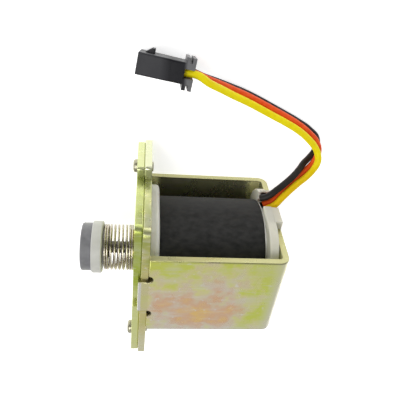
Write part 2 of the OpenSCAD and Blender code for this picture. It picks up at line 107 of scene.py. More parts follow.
def eased_outline(corners, steps=5):
    """A closed outline through corners (across, up, radius), each rounded by its radius."""
    line = []
    for i, (across, up, radius) in enumerate(corners):
        here = Vector((across, up))
        before = (Vector(corners[i - 1][:2]) - here).normalized()
        after = (Vector(corners[(i + 1) % len(corners)][:2]) - here).normalized()
        if not radius:
            line.append(here)
            continue
        half = before.angle(after) / 2
        middle = here + (before + after).normalized() * radius / math.sin(half)
        first = here + before * radius / math.tan(half) - middle
        last = here + after * radius / math.tan(half) - middle
        line += [middle + radius * first.slerp(last, k / steps) for k in range(steps + 1)]
    return line


def block_outline(width, height, radius, steps=5):
    """A rectangle round the origin with rounded corners, run anticlockwise."""
    w, h = width / 2, height / 2
    return eased_outline([(-w, -h, radius), (w, -h, radius), (w, h, radius), (-w, h, radius)], steps)


def hole_outline(radius, across=0, up=0, sides=24):
    """A round hole, run clockwise."""
    return [Vector((across + radius * math.cos(-math.tau * k / sides),
                    up + radius * math.sin(-math.tau * k / sides))) for k in range(sides)]


def eased_slab(outlines, depth, low_edge, high_edge=None, steps=3):
    """A slab with rounded rims: the first outline is its outside, the others are holes through it."""
    form = bmesh.new()
    quarter = [math.radians(90 * k / steps) for k in range(steps + 1)]
    rims = [[(edge * (1 - math.sin(a)), edge * (1 - math.cos(a))) for a in quarter]
            for edge in (low_edge, high_edge or low_edge)]
    section = rims[0] + [(inset, depth - up) for inset, up in reversed(rims[1])]
    caps = ([], [])
    for outline in outlines:
        inward = []
        for i, here in enumerate(outline):
            into = (here - outline[i - 1]).normalized()
            out = (outline[(i + 1) % len(outline)] - here).normalized()
            left = Vector((-into.y - out.y, into.x + out.x))
            inward.append(left / (1 + into.dot(out)))
        rings = [[form.verts.new((*(p + inset * s), up)) for p, s in zip(outline, inward)]
                 for inset, up in section]
        count = len(outline)
        for low, high in zip(rings, rings[1:]):
            for i in range(count):
                j = (i + 1) % count
                form.faces.new((low[i], low[j], high[j], high[i]))
        for cap, ring in zip(caps, (rings[0], rings[-1])):
            cap += [form.edges.get((ring[i], ring[(i + 1) % count])) for i in range(count)]
    for cap in caps:
        bmesh.ops.triangle_fill(form, use_beauty=True, use_dissolve=False, edges=cap)
    bmesh.ops.recalc_face_normals(form, faces=form.faces)
    return form


def gather(forms):
    """One form from several, each moved by its own matrix."""
    whole = bmesh.new()
    for form, move in forms:
        part = bpy.data.meshes.new("part")
        form.transform(move)
        form.to_mesh(part)
        form.free()
        whole.from_mesh(part)
        bpy.data.meshes.remove(part)
    return whole


def place_piece(name, form, material, body, slot, *nodes):
    """Makes a piece of a form in the CAD frame, which rides on a body and stands for CAD nodes."""
    mesh = bpy.data.meshes.new(name)
    form.to_mesh(mesh)
    form.free()
    mesh.polygons.foreach_set("use_smooth", [True] * len(mesh.polygons))
    mesh.set_sharp_from_angle(angle=math.radians(38))
    mesh.materials.append(material)
    piece = bpy.data.objects.new(name, mesh)
    scene.collection.objects.link(piece)
    flats = piece.modifiers.new("flats", "WEIGHTED_NORMAL")
    flats.keep_sharp = True
    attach(piece, body)
    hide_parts(*nodes)
    return piece


def new_finish(name):
    """A new material, with its shader and the coordinates of the CAD frame."""
    material = bpy.data.materials.new(name)
    material.use_nodes = True
    tree = material.node_tree
    place = tree.nodes.new("ShaderNodeTexCoord")
    return material, tree, tree.nodes["Principled BSDF"], place.outputs["Object"]


def grain(tree, place, size, detail=2.0, stretch=(1, 1, 1)):
    """Cloudy variation with spots of about that size, drawn out along an axis where stretch is small."""
    scaled = tree.nodes.new("ShaderNodeMapping")
    scaled.inputs["Scale"].default_value = stretch
    noise = tree.nodes.new("ShaderNodeTexNoise")
    noise.inputs["Scale"].default_value = 1 / size
    noise.inputs["Detail"].default_value = detail
    tree.links.new(place, scaled.inputs["Vector"])
    tree.links.new(scaled.outputs["Vector"], noise.inputs["Vector"])
    return noise.outputs["Fac"]


def tint(tree, amount, *stops):
    """A colour that follows an amount: each stop is where it lies, and its colour."""
    node = tree.nodes.new("ShaderNodeValToRGB")
    steps = node.color_ramp.elements
    for element, (at, colour) in zip(steps, (stops[0], stops[-1])):
        element.position = at
        element.color = (*colour, 1)
    for at, colour in stops[1:-1]:
        steps.new(at).color = (*colour, 1)
    tree.links.new(amount, node.inputs["Fac"])
    return node.outputs["Color"]


def span(tree, amount, low, high, start=0.3, end=0.7):
    """A number that goes from low to high as an amount goes from start to end."""
    node = tree.nodes.new("ShaderNodeMapRange")
    for socket, value in zip(("From Min", "From Max", "To Min", "To Max"), (start, end, low, high)):
        node.inputs[socket].default_value = value
    tree.links.new(amount, node.inputs["Value"])
    return node.outputs["Result"]


def relief(tree, shader, height, depth):
    """Fine unevenness of a surface, by that depth."""
    bump = tree.nodes.new("ShaderNodeBump")
    bump.inputs["Distance"].default_value = depth
    tree.links.new(height, bump.inputs["Height"])
    tree.links.new(bump.outputs["Normal"], shader.inputs["Normal"])


def moulded(name, dark, light, rough, spot=0.0022, skin=0.00035, depth=0.000012):
    """Moulded plastic or rubber: cloudy colour, gloss that varies a little, and a fine mould skin."""
    material, tree, shader, place = new_finish(name)
    cloud = grain(tree, place, spot, 4)
    tree.links.new(tint(tree, cloud, (0.3, dark), (0.7, light)), shader.inputs["Base Color"])
    tree.links.new(span(tree, cloud, *rough), shader.inputs["Roughness"])
    relief(tree, shader, grain(tree, place, skin, 3), depth)
    return material, tree, shader, place


def mixed(tree, amount, first, second):
    """Two colours laid over each other by an amount."""
    node = tree.nodes.new("ShaderNodeMix")
    node.data_type = "RGBA"
    tree.links.new(amount, node.inputs["Factor"])
    for socket, colour in ((node.inputs["A"], first), (node.inputs["B"], second)):
        if isinstance(colour, tuple):
            socket.default_value = (*colour, 1)
        else:
            tree.links.new(colour, socket)
    return node.outputs["Result"]


def split(tree, place):
    """The coordinates of a place, by axis."""
    node = tree.nodes.new("ShaderNodeSeparateXYZ")
    tree.links.new(place, node.inputs[0])
    return node.outputs


def overlay(tree, shader, amount, start, full, strength, colour):
    """Lays a colour over a finish: it starts at one amount, and has its full strength at another."""
    base = shader.inputs["Base Color"]
    share = span(tree, amount, 0, strength, start, full)
    tree.links.new(mixed(tree, share, base.links[0].from_socket, colour), base)


plug_nylon, tree, shader, place = moulded(
    "plug_nylon", (0.003, 0.003, 0.005), (0.014, 0.014, 0.018), (0.3, 0.5), 0.0036)
shader.inputs["Specular IOR Level"].default_value = 0.18
along = split(tree, place)["X"]
# Painted gloss highlight on the ribs, and a greyer front
for zone in PLUG_RIB_HIGHLIGHT_AND_GREY:
    overlay(tree, shader, along, *zone)
passages = [[Vector((u, v + k * PLUG_PITCH)) for u, v in
             ((-PASSAGE, -PASSAGE), (-PASSAGE, PASSAGE), (PASSAGE, PASSAGE), (PASSAGE, -PASSAGE))]
            for k in (-1, 0, 1)]
lead_holes = [hole_outline(LEAD_HOLE_R, 0, k * PLUG_PITCH, 20) for k in (-1, 0, 1)]
front_line = block_outline(PLUG_T, PLUG_W, PLUG_CORNER)
back_line = block_outline(PLUG_T - 2 * PLUG_SUNK, PLUG_W - 2 * PLUG_SUNK, PLUG_CORNER)
front_part = eased_slab([front_line] + passages, PLUG_LEN - PASSAGE_START, PLUG_SUNK, PLUG_EDGE)
back_part = eased_slab([back_line] + lead_holes, PASSAGE_START + PLUG_LAP, PLUG_EDGE)
ramp = eased_slab([[Vector(p) for p in RAMP]], RAMP_W, PLUG_EDGE)
wall_y = PLUG_T / 2 - PLUG_SUNK
rib_y = PLUG_T / 2 + RIB_OUT
comb = ((-PLUG_FLANGE_T, LEAD_HOLE_R), (PLUG_LAP, LEAD_HOLE_R), (PLUG_LAP, wall_y), (0, wall_y), (0, rib_y),
        (-RIB_T, rib_y), (-RIB_T, wall_y), (RIB_T - PLUG_FLANGE_T, wall_y), (RIB_T - PLUG_FLANGE_T, rib_y),
        (-PLUG_FLANGE_T, rib_y))
plug_forms = [(front_part, plug_place @ Matrix.Translation((PASSAGE_START, 0, 0)) @ ACROSS),
              (back_part, plug_place @ ACROSS),
              (ramp, plug_place @ Matrix.Translation((PLUG_LEN, -PLUG_T / 2, -RAMP_W / 2)))]
for side in (-1, 1):
    wall_line = [Vector((x, side * y)) for x, y in comb[::side]]
    ribbed_wall = eased_slab([wall_line], PLUG_W - 2 * PLUG_SUNK, PLUG_EDGE)
    plug_forms.append((ribbed_wall, plug_place @ Matrix.Translation((0, 0, PLUG_SUNK - PLUG_W / 2))))
place_piece("connector_plug", gather(plug_forms), plug_nylon, "magnet", "plug_black", "connector_housing")


def dress(material, *names):
    """Gives CAD solids that stay as they are their finish."""
    for name in names:
        cad[name].data.materials.clear()
        cad[name].data.materials.append(material)


contact_tin, tree, shader, place = new_finish("contact_tin")
shader.inputs["Metallic"].default_value = 1
streaks = grain(tree, place, 0.0006, 4)
tree.links.new(tint(tree, streaks, (0.3, (0.5, 0.49, 0.46)), (0.7, (0.72, 0.71, 0.67))),
               shader.inputs["Base Color"])
tree.links.new(span(tree, streaks, 0.25, 0.4), shader.inputs["Roughness"])
dress(contact_tin, "connector_contacts")


# Leads
# Three soft stranded wires in PVC insulation, black, red and yellow. They leave the slot of the bobbin,
# drop to the surface in a loose bow, and run side by side into the back of the plug.
LEAD_D = 0.0017
LEAD_PITCH = 0.0018
# Middle lead from the plug to the slot in mm, then the lean of the upper and of the lower lead in degrees
LEAD_ROUTE = [
    (2.2, -44, 6.4, 18, 18), (-0.4, -43.7, 6.6, 18, 18), (-3.1, -42.5, 6.2, 4, 17),
    (-6.3, -41, 5.1, -8, 13), (-9.7, -39.3, 3.9, -17, 9), (-13.2, -37.7, 3.1, -22, 6),
    (-17, -35.9, 2.7, -25, 4), (-20.6, -34.2, 2.7, -25, 4), (-24.4, -32.4, 2.7, -25, 4),
    (-28.1, -30.4, 2.7, -25, 0), (-31.2, -28.2, 2.7, -28, -10), (-33.8, -25.6, 2.7, -28, -12),
    (-34.7, -23.2, 3.1, -20, 10), (-34.2, -20.9, 3.8, -5, 36), (-32.7, -19.2, 4.7, 2, 62),
    (-30.8, -18.02, 6, 3, 87), (-28.6, -17.02, 7.5, 1, 105), (-26.3, -15.82, 9.1, 3, 110),
    (-24.2, -14.52, 10.6, 6, 104), (-22.45, -13.12, 11.7, 7, 86), (-20.55, -12.22, 12.05, 8, 64)]
# Number of steps in which the leads close up behind the plug
LEAD_GATHER = 3
# Where along Y the insulation is darkened towards the slot as painted shade: start, full and strength
LEAD_PAINTED_SHADE = (-0.023, -0.017, 0.9)
lead_line = [Vector(p[:3]) / 1000 for p in LEAD_ROUTE]


def lead_points(side):
    """The line of one lead from the slot to the plug: side 1 is above the middle lead, -1 below it."""
    points = []
    for i, row in enumerate(LEAD_ROUTE):
        along = (lead_line[min(i + 1, len(lead_line) - 1)] - lead_line[max(i - 1, 0)]).normalized()
        left = Vector((-along.y, along.x, 0)).normalized()
        lean = math.radians(row[3] if side > 0 else row[4])
        away = math.cos(lean) * along.cross(left) + math.sin(lean) * left
        spread = max(LEAD_PITCH, PLUG_PITCH - (PLUG_PITCH - LEAD_PITCH) * i / LEAD_GATHER)
        points.append(lead_line[i] + side * spread * away)
    return points[::-1]


# The last colour of each lead is its painted shade towards the slot
for name, side, dark, light, deep in (
        ("black", -1, (0.012, 0.011, 0.012), (0.03, 0.027, 0.028), (0.020, 0.018, 0.017)),
        ("red", 0, (0.84, 0.075, 0.008), (0.92, 0.12, 0.018), (0.66, 0.075, 0.008)),
        ("yellow", 1, (0.93, 0.75, 0.001), (0.99, 0.85, 0.004), (0.78, 0.50, 0.0))):
    points = lead_points(side)
    line = bpy.data.curves.new(name + "_wire", "CURVE")
    line.dimensions = "3D"
    line.bevel_depth = LEAD_D / 2
    line.bevel_resolution = 6
    line.use_fill_caps = True
    line.resolution_u = 8
    run = line.splines.new("BEZIER")
    run.bezier_points.add(len(points) - 1)
    for knot, point in zip(run.bezier_points, points):
        knot.co = point
        knot.handle_left_type = knot.handle_right_type = "AUTO"
    insulation, tree, shader, place = moulded(
        name + "_insulation", dark, light, (0.4, 0.56), 0.0016, 0.0005, 0.00002)
    # Painted shade: each lead darkens towards the slot
    overlay(tree, shader, split(tree, place)["Y"], *LEAD_PAINTED_SHADE, deep)
    shader.inputs["Specular IOR Level"].default_value = 0.2
    line.materials.append(insulation)
    lead = bpy.data.objects.new(name + "_wire", line)
    scene.collection.objects.link(lead)
    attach(lead, "magnet")
    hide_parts(name + "_lead")


# Yoke
# A steel strip punched with a tab at each end and a notch for the leads, bent into a U round the coil.
# It is zinc plated with a yellow passivate, a thin film that shows green, straw and pink patches.
AXIS_H = 0.01625
PLATE_X = 0.00795
STRIP_T = 0.0016
STRIP_W = 0.024
YOKE_H = 0.0325
YOKE_LEN = 0.0315
BEND_R = 0.0008
TAB_W = 0.01
TAB_OUT = 0.0023
RELIEF_R = 0.0009
NOTCH_W = 0.0128
NOTCH_D = 0.003
NOTCH_MID = -0.0017
STUD_R = 0.00252
SHEAR_EDGE = 0.00014
ROLLED_EDGE = 0.0003
BEND_CUTS = 8
FILM_DRIFT = 0.007
FILM_PATCH = 0.0028
RUBBED_SIZE = 0.0034
ROLLED_SIZE = 0.0009
NICK_SIZE = 0.0013
# How far from a sheared wall its dull film, and the painted shade in the relief cuts, are full, and where
# they end
SHEARED_FULL = 0.00005
SHEARED_END = 0.0003
on_axis = Matrix.Translation((PLATE_X, 0, AXIS_H))
leg_len = YOKE_LEN - BEND_R - STRIP_T
base_len = YOKE_H - 2 * (BEND_R + STRIP_T)
bend_len = math.pi / 2 * (BEND_R + STRIP_T / 2)
strip_len = 2 * (leg_len + bend_len) + base_len


def bent(point):
    """Where a point of the flat strip (along, across, thickness from the inside) lies in the bent yoke."""
    along, across, out = point
    side = 1
    if along > strip_len / 2:
        along, side = strip_len - along, -1
    if along <= leg_len:
        return Vector((-along, across, -side * (YOKE_H / 2 - STRIP_T + out)))
    if along <= leg_len + bend_len:
        angle = (along - leg_len) / (BEND_R + STRIP_T / 2)
        radius = BEND_R + out
        return Vector((-leg_len - radius * math.sin(angle), across,
                       -side * (base_len / 2 + radius * math.cos(angle))))
    return Vector((-leg_len - BEND_R - out, across, -side * (strip_len / 2 - along)))


tab_end = [(0, -STRIP_W / 2), (0, -TAB_W / 2 - 2 * RELIEF_R)]
tab_end += [(RELIEF_R * math.sin(math.radians(a)),
             -TAB_W / 2 - RELIEF_R - RELIEF_R * math.cos(math.radians(a))) for a in range(30, 180, 30)]
tab_end += [(0, -TAB_W / 2), (-TAB_OUT, -TAB_W / 2)]
near_end = tab_end[::-1]
far_end = [(strip_len - u, v) for u, v in tab_end]
notch_low = strip_len / 2 + NOTCH_MID - NOTCH_W / 2
notch_high = strip_len / 2 + NOTCH_MID + NOTCH_W / 2
notch = [(notch_low, -STRIP_W / 2), (notch_low, NOTCH_D - STRIP_W / 2),
         (notch_high, NOTCH_D - STRIP_W / 2), (notch_high, -STRIP_W / 2)]
lower_half = near_end + notch + far_end
mirrored = [(strip_len - u, -v) for u, v in near_end + far_end]
strip = [Vector(p) for p in lower_half + mirrored]
yoke = eased_slab([strip, hole_outline(STUD_R, strip_len / 2, 0)], STRIP_T, SHEAR_EDGE, ROLLED_EDGE)
for start in (leg_len, leg_len + bend_len + base_len):
    for k in range(BEND_CUTS + 1):
        bmesh.ops.bisect_plane(yoke, geom=yoke.verts[:] + yoke.edges[:] + yoke.faces[:], dist=1e-7,
                               plane_co=(start + bend_len * k / BEND_CUTS, 0, 0), plane_no=(1, 0, 0))
for corner in yoke.verts:
    corner.co = on_axis @ bent(corner.co)
bmesh.ops.recalc_face_normals(yoke, faces=yoke.faces)


def weigh(tree, *parts):
    """The sum of several amounts, each times its weight."""
    whole = None
    for amount, weight in parts:
        node = tree.nodes.new("ShaderNodeMath")
        node.operation = "MULTIPLY_ADD"
        node.inputs[1].default_value = weight
        node.inputs[2].default_value = 0
        tree.links.new(amount, node.inputs[0])
        if whole:
            tree.links.new(whole, node.inputs[2])
        whole = node.outputs[0]
    return whole


def distance(tree, place, point):
    """How far a place is from a point."""
    node = tree.nodes.new("ShaderNodeVectorMath")
    node.operation = "DISTANCE"
    node.inputs[1].default_value = point
    tree.links.new(place, node.inputs[0])
    return node.outputs["Value"]


def passivate(name, film, middle, reach, *zones):
    """Yellow passivate on zinc: a film in broken patches, its colour set by the distance from a middle.

    A zone is an axis, where its colour starts and is full along that axis, how strong it is, and its colour.
    """
    material, tree, shader, place = new_finish(name)
    parts = split(tree, place)
    drift = span(tree, grain(tree, place, FILM_DRIFT, 4), -0.5, 0.5, 0.34, 0.66)
    patch = span(tree, grain(tree, place, FILM_PATCH, 6), -0.5, 0.5, 0.32, 0.68)
    thick = weigh(tree, (distance(tree, place, middle), 1 / reach), (drift, 0.45), (patch, 0.45))
    colour = tint(tree, thick, *film)
    rubbed = span(tree, grain(tree, place, RUBBED_SIZE, 4, (0.5, 1, 1)), 0, 0.6, 0.52, 0.72)
    colour = mixed(tree, rubbed, colour, (0.83, 0.78, 0.70))
    rolled = span(tree, grain(tree, place, ROLLED_SIZE, 4, (0.16, 1, 1)), 0, 0.4, 0.54, 0.74)
    colour = mixed(tree, rolled, colour, (0.92, 0.90, 0.82))
    nicks = span(tree, grain(tree, place, NICK_SIZE, 3), 0, 0.55, 0.62, 0.72)
    colour = mixed(tree, nicks, colour, (0.95, 0.94, 0.90))
    tree.links.new(colour, shader.inputs["Base Color"])
    for axis, *zone in zones:
        overlay(tree, shader, parts[axis], *zone)
    shader.inputs["Metallic"].default_value = 0.92
    tree.links.new(span(tree, patch, 0.24, 0.36, -0.5, 0.5), shader.inputs["Roughness"])
    relief(tree, shader, grain(tree, place, ROLLED_SIZE, 3), 0.000004)
    return material


yoke_zinc = passivate("yoke_passivate", (
    (0.0, (0.96, 0.66, 0.26)), (0.34, (0.86, 0.57, 0.37)), (0.56, (0.84, 0.71, 0.51)),
    (0.76, (0.84, 0.79, 0.36)), (1.0, (0.72, 0.79, 0.10))), (-0.0035, 0.006, YOKE_H), 0.018,
    ("X", -0.012, -0.017, 0.3, (0.74, 0.80, 0.28)), ("X", -0.0195, -0.0225, 0.8, (0.84, 0.80, 0.74)),
    ("Y", -0.003, -0.0085, 0.3, (0.76, 0.76, 0.30)), ("Y", 0.0088, 0.0113, 0.45, (0.86, 0.82, 0.74)),
    # The first zone on this line darkens the +Y rim: painted shade
    ("Y", 0.0114, 0.0118, 0.6, (0.36, 0.35, 0.29)), ("Z", 0.008, 0.002, 0.6, (0.80, 0.78, 0.60)),
    # The first zone on this line darkens the rounded -Y rim: painted shade
    ("Y", -0.0115, -0.0118, 0.6, (0.30, 0.27, 0.17)), ("Y", -0.01185, -0.012, 1, (0.50, 0.49, 0.25)),
    ("X", 0.0076, 0.0081, 0.75, (0.74, 0.70, 0.36)), ("X", 0.0094, 0.0097, 0.9, (0.84, 0.83, 0.80)))
# The sides of the tabs are sheared, so the film on them is dull; the walls of the relief cuts are darkened as
# painted shade
tree = yoke_zinc.node_tree
shader = tree.nodes["Principled BSDF"]
parts = split(tree, tree.nodes.new("ShaderNodeTexCoord").outputs["Object"])
relief_mid = (PLATE_X, TAB_W / 2 + RELIEF_R, 0)
for limit, strength, dull_film_and_shade in ((PLATE_X, 1, (0.38, 0.35, 0.19)), (1, 0.85, (0.10, 0.085, 0.05))):
    flat = tree.nodes.new("ShaderNodeCombineXYZ")
    for axis, way, value in (("X", "MINIMUM", limit), ("Y", "ABSOLUTE", 0)):
        node = tree.nodes.new("ShaderNodeMath")
        node.operation = way
        node.inputs[1].default_value = value
        tree.links.new(parts[axis], node.inputs[0])
        tree.links.new(node.outputs[0], flat.inputs[axis])
    away = distance(tree, flat.outputs["Vector"], relief_mid)
    overlay(tree, shader, away, RELIEF_R + SHEARED_END, RELIEF_R + SHEARED_FULL, strength, dull_film_and_shade)
place_piece("yoke_strip", yoke, yoke_zinc, "magnet", "zinc_yellow", "yoke_frame")


# Plates
# Two flat plates punched from sheet, the outer one a little smaller, with an ear at two opposite corners.
# They are plated like the yoke. The yoke's tabs are staked into notches in the inner plate's sides, and
# deeper notches in the outer plate leave room for the ends of the tabs.
PLATE_W = 0.031
PLATE_LEN = 0.0388
EAR_OUT = 0.0035
EAR_W = 0.0126
PLATE_CORNER = 0.002
EAR_CORNER = 0.0007
PLATE_STEP = 0.0007
FLANGE_LONGER = 0.0004
EAR_SHORTER = 0.0002
TAB_ROOM = 0.0012
PLATE_T = 0.00175
PRESS_GAP = 0.00002
BOLT_R = 0.0017
BOLT_AT = (0.0152, 0.0114)
RIVET_AT = (0.0175, 0.0113)
RIVET_HOLE_R = 0.00102
INNER_HOLE_R = 0.0046
BUSH_HOLE_R = 0.00302


def plate_outlines(middle_hole, tab_room, narrower, longer, shorter):
    """The outline of a plate, against the inner one narrower, longer and with shorter ears, and its holes."""
    u = PLATE_LEN / 2 + longer
    v = PLATE_W / 2 - narrower
    ear_u = PLATE_LEN / 2 + EAR_OUT - shorter
    ear_v = v - (EAR_W - narrower)
    notch_u = TAB_W / 2 + PRESS_GAP
    notch_v = YOKE_H / 2 - STRIP_T - tab_room
    side = [(u, -v, PLATE_CORNER), (u, ear_v, 0), (ear_u, ear_v, EAR_CORNER), (ear_u, v, EAR_CORNER),
            (notch_u, v, 0), (notch_u, notch_v, 0), (-notch_u, notch_v, 0), (-notch_u, v, 0)]
    lines = [eased_outline(side + [(-a, -b, c) for a, b, c in side]), hole_outline(middle_hole, sides=48)]
    for turn in (1, -1):
        lines.append(hole_outline(BOLT_R, -turn * BOLT_AT[0], turn * BOLT_AT[1]))
        lines.append(hole_outline(RIVET_HOLE_R, turn * RIVET_AT[0], turn * RIVET_AT[1]))
    return lines


inner_zinc = passivate("inner_passivate", (
    (0.1, (0.76, 0.68, 0.30)), (0.5, (0.68, 0.65, 0.25)), (0.9, (0.46, 0.50, 0.14))),
    (PLATE_X, 0.008, YOKE_H), 0.03, ("Y", -0.0185, -0.021, 0.75, (0.80, 0.82, 0.60)),
    ("Y", 0.010, 0.018, 0.6, (0.90, 0.88, 0.68)))
outer_zinc = passivate("outer_passivate", (
    (0.1, (0.49, 0.61, 0.07)), (0.5, (0.52, 0.62, 0.10)), (0.9, (0.46, 0.49, 0.18))),
    (PLATE_X, 0.004, YOKE_H), 0.026, ("Y", -0.002, 0.003, 0.8, (0.92, 0.94, 0.46)),
    ("Y", -0.003, -0.009, 0.5, (0.50, 0.60, 0.08)),
    ("Y", -0.0185, -0.021, 0.6, (0.78, 0.80, 0.50)))
for name, start, back_edge, front_edge, zinc, outlines in (
        ("yoke_plate", 0, SHEAR_EDGE, ROLLED_EDGE, inner_zinc,
         plate_outlines(INNER_HOLE_R, PRESS_GAP, 0, 0, 0)),
        ("flange_plate", PLATE_T, ROLLED_EDGE, SHEAR_EDGE, outer_zinc,
         plate_outlines(BUSH_HOLE_R, TAB_ROOM, PLATE_STEP, FLANGE_LONGER, EAR_SHORTER))):
    plate = eased_slab(outlines, PLATE_T, back_edge, front_edge)
    plate.transform(on_axis @ Matrix.Translation((start, 0, 0)) @ ACROSS)
    place_piece(name + "_punched", plate, zinc, "magnet", "zinc_yellow", name)


# Rivets
# Two plated steel rivets hold the plates together: a round-edged head in front, a closed tail behind.
RIVET_R = 0.001
RIVET_HEAD_R = 0.0017
RIVET_HEAD_H = 0.0011
RIVET_TAIL_R = 0.0012
RIVET_TAIL_H = 0.0005
RIVET_TAIL_EASE = 0.0002
DOME_ANGLES = (0, 1, 4, 10, 20, 32, 45, 58, 70, 80, 86, 89)
ROUND_SIDES = 72


def turned(profile, sides=ROUND_SIDES):
    """A turned piece along X from a list of (x, radius), closed on the axis where the radius is 0."""
    form = bmesh.new()
    rings = []
    for x, radius in profile:
        if radius == 0:
            rings.append([form.verts.new((x, 0, 0))])
        else:
            rings.append([form.verts.new((x, radius * math.cos(math.tau * k / sides),
                                          radius * math.sin(math.tau * k / sides))) for k in range(sides)])
    closed = len(rings[0]) > 1 and len(rings[-1]) > 1
    for low, high in zip(rings, rings[1:] + ([rings[0]] if closed else [])):
        for k in range(sides):
            j = (k + 1) % sides
            ring = [low[k % len(low)], low[j % len(low)], high[j % len(high)], high[k % len(high)]]
            form.faces.new(dict.fromkeys(ring))
    bmesh.ops.recalc_face_normals(form, faces=form.faces)
    return form


def metal(name, dark, light, rough, size=0.001, stretch=(1, 1, 1)):
    """Bare or plated metal: streaks of tone and gloss, along the way it was drawn or turned."""
    material, tree, shader, place = new_finish(name)
    streak = grain(tree, place, size, 4, stretch)
    tree.links.new(tint(tree, streak, (0.3, dark), (0.7, light)), shader.inputs["Base Color"])
    shader.inputs["Metallic"].default_value = 1
    tree.links.new(span(tree, streak, *rough), shader.inputs["Roughness"])
    relief(tree, shader, streak, 0.000006)
    return material


rivet_steel = metal("rivet_steel", (0.36, 0.34, 0.24), (0.56, 0.54, 0.40), (0.3, 0.48))
front = 2 * PLATE_T
dome = [(front + RIVET_HEAD_H * math.sqrt(math.sin(math.radians(a))),
         RIVET_HEAD_R * math.sqrt(math.cos(math.radians(a)))) for a in DOME_ANGLES]
rivet_profile = [(-RIVET_TAIL_H, 0), (-RIVET_TAIL_H, RIVET_TAIL_R - RIVET_TAIL_EASE),
                 (RIVET_TAIL_EASE / 2 - RIVET_TAIL_H, RIVET_TAIL_R), (0, RIVET_TAIL_R), (0, RIVET_R),
                 (front, RIVET_R)] + dome + [(front + RIVET_HEAD_H, 0)]
place_piece("rivets_pair", gather([
    (turned(rivet_profile, 32), on_axis @ Matrix.Translation((0, side * RIVET_AT[0], side * RIVET_AT[1])))
    for side in (1, -1)]), rivet_steel, "magnet", "rivet_steel", "plate_rivets")


# Bobbin
# One moulding in natural nylon: a tube between two flanges with broad round corners. The rear flange has
# the slot where the leads come out, and its outlet goes through the notch in the yoke's base.
FLANGE_SIZE = 0.028435
FLANGE_CORNER = 0.009
FLANGE_T = 0.0022
FLANGE_EDGE = 0.0003
COIL_EDGE = 0.001
TUBE_R = 0.0056
BORE_R = 0.0046
SLOT_W = 0.006
SLOT_DROP = 0.0041
SLOT_D = 0.0033
OUTLET_OUT = 0.0001
OUTLET_H = 0.0032
OUTLET_EASE = 0.0003
OUTLET_EDGE = 0.00025
OUTLET_SHORT = 0.0004
LOOSE_GAP = 0.0001
# Where along X the nylon turns yellower towards the rear flange: start, full, strength and colour
NYLON_YELLOWER = (-0.018, -0.0195, 0.6, (0.62, 0.60, 0.47))
base_in = -(YOKE_LEN - STRIP_T)
rear_back = base_in + LOOSE_GAP
rear_front = rear_back + FLANGE_T
half = FLANGE_SIZE / 2
slot_floor = half - SLOT_D
slot_low = -SLOT_DROP - SLOT_W / 2
slot_high = -SLOT_DROP + SLOT_W / 2
flange_line = block_outline(FLANGE_SIZE, FLANGE_SIZE, FLANGE_CORNER, 16)
front_flange = eased_slab([flange_line, hole_outline(BORE_R, sides=48)], FLANGE_T - PRESS_GAP,
                          COIL_EDGE, FLANGE_EDGE, 6)
corner_mid = FLANGE_CORNER - half
slot_meets = corner_mid - math.sqrt(FLANGE_CORNER ** 2 - (slot_low - corner_mid) ** 2)
slot_line = [Vector(p) for p in ((-half, slot_high), (-slot_floor, slot_high), (-slot_floor, slot_low),
                                 (slot_meets, slot_low))]
rear_line = slot_line + [p for p in flange_line if p.x > -slot_floor or not slot_low <= p.y <= slot_high]
rear_flange = eased_slab([rear_line, hole_outline(BORE_R, sides=48)], FLANGE_T, FLANGE_EDGE)
outlet_top = -slot_floor - OUTLET_H
outlet_low = -(STRIP_W / 2 - NOTCH_D + LOOSE_GAP)
outlet_a = NOTCH_MID - NOTCH_W / 2 + LOOSE_GAP
outlet_b = NOTCH_MID + NOTCH_W / 2 - LOOSE_GAP
outlet_line = eased_outline([(across, up, OUTLET_EASE) for across, up in (
    (outlet_low, outlet_a), (outlet_low, outlet_b), (outlet_top, outlet_b), (outlet_top, slot_high),
    (-slot_floor, slot_high), (-slot_floor, slot_low), (outlet_top, slot_low), (outlet_top, outlet_a))])
outlet = eased_slab([outlet_line], rear_front - OUTLET_SHORT + YOKE_LEN + OUTLET_OUT, OUTLET_EDGE)
tube = turned([(rear_back, TUBE_R), (-PRESS_GAP, TUBE_R), (-PRESS_GAP, BORE_R), (rear_back, BORE_R)])
nylon, tree, shader, place = moulded("natural_nylon", (0.70, 0.70, 0.64), (0.78, 0.78, 0.72), (0.3, 0.45))
overlay(tree, shader, split(tree, place)["X"], *NYLON_YELLOWER)
shader.inputs["Subsurface Weight"].default_value = 0.25
shader.inputs["Subsurface Radius"].default_value = (0.0016, 0.0014, 0.001)
shader.inputs["Subsurface Scale"].default_value = 1
place_piece("bobbin_moulding", gather([
    (front_flange, on_axis @ Matrix.Translation((-FLANGE_T, 0, 0)) @ ACROSS),
    (rear_flange, on_axis @ Matrix.Translation((rear_back, 0, 0)) @ ACROSS),
    (outlet, on_axis @ Matrix.Translation((-YOKE_LEN - OUTLET_OUT, 0, 0)) @ ACROSS),
    (tube, on_axis)]), nylon, "magnet", "nylon_white", "bobbin")


# Windings and liner
# Two coils of enamelled copper wire, one over the other, under a white film liner. Only the liner's edge
# shows, beyond the end of the tape.
copper, tree, shader, place = new_finish("enamelled_copper")
wires = tree.nodes.new("ShaderNodeTexWave")
wires.inputs["Scale"].default_value = 900
wires.inputs["Distortion"].default_value = 0.6
tree.links.new(place, wires.inputs["Vector"])
tree.links.new(tint(tree, wires.outputs["Fac"], (0.1, (0.30, 0.10, 0.04)), (0.9, (0.62, 0.27, 0.12))),
               shader.inputs["Base Color"])
shader.inputs["Metallic"].default_value = 0.8
shader.inputs["Roughness"].default_value = 0.35
relief(tree, shader, wires.outputs["Fac"], 0.00005)
liner_film = moulded("liner_film", (0.90, 0.90, 0.87), (0.96, 0.96, 0.93), (0.35, 0.5), 0.003, 0.0006)[0]
dress(copper, "pull_winding", "hold_winding")
dress(liner_film, "insulation_liner")


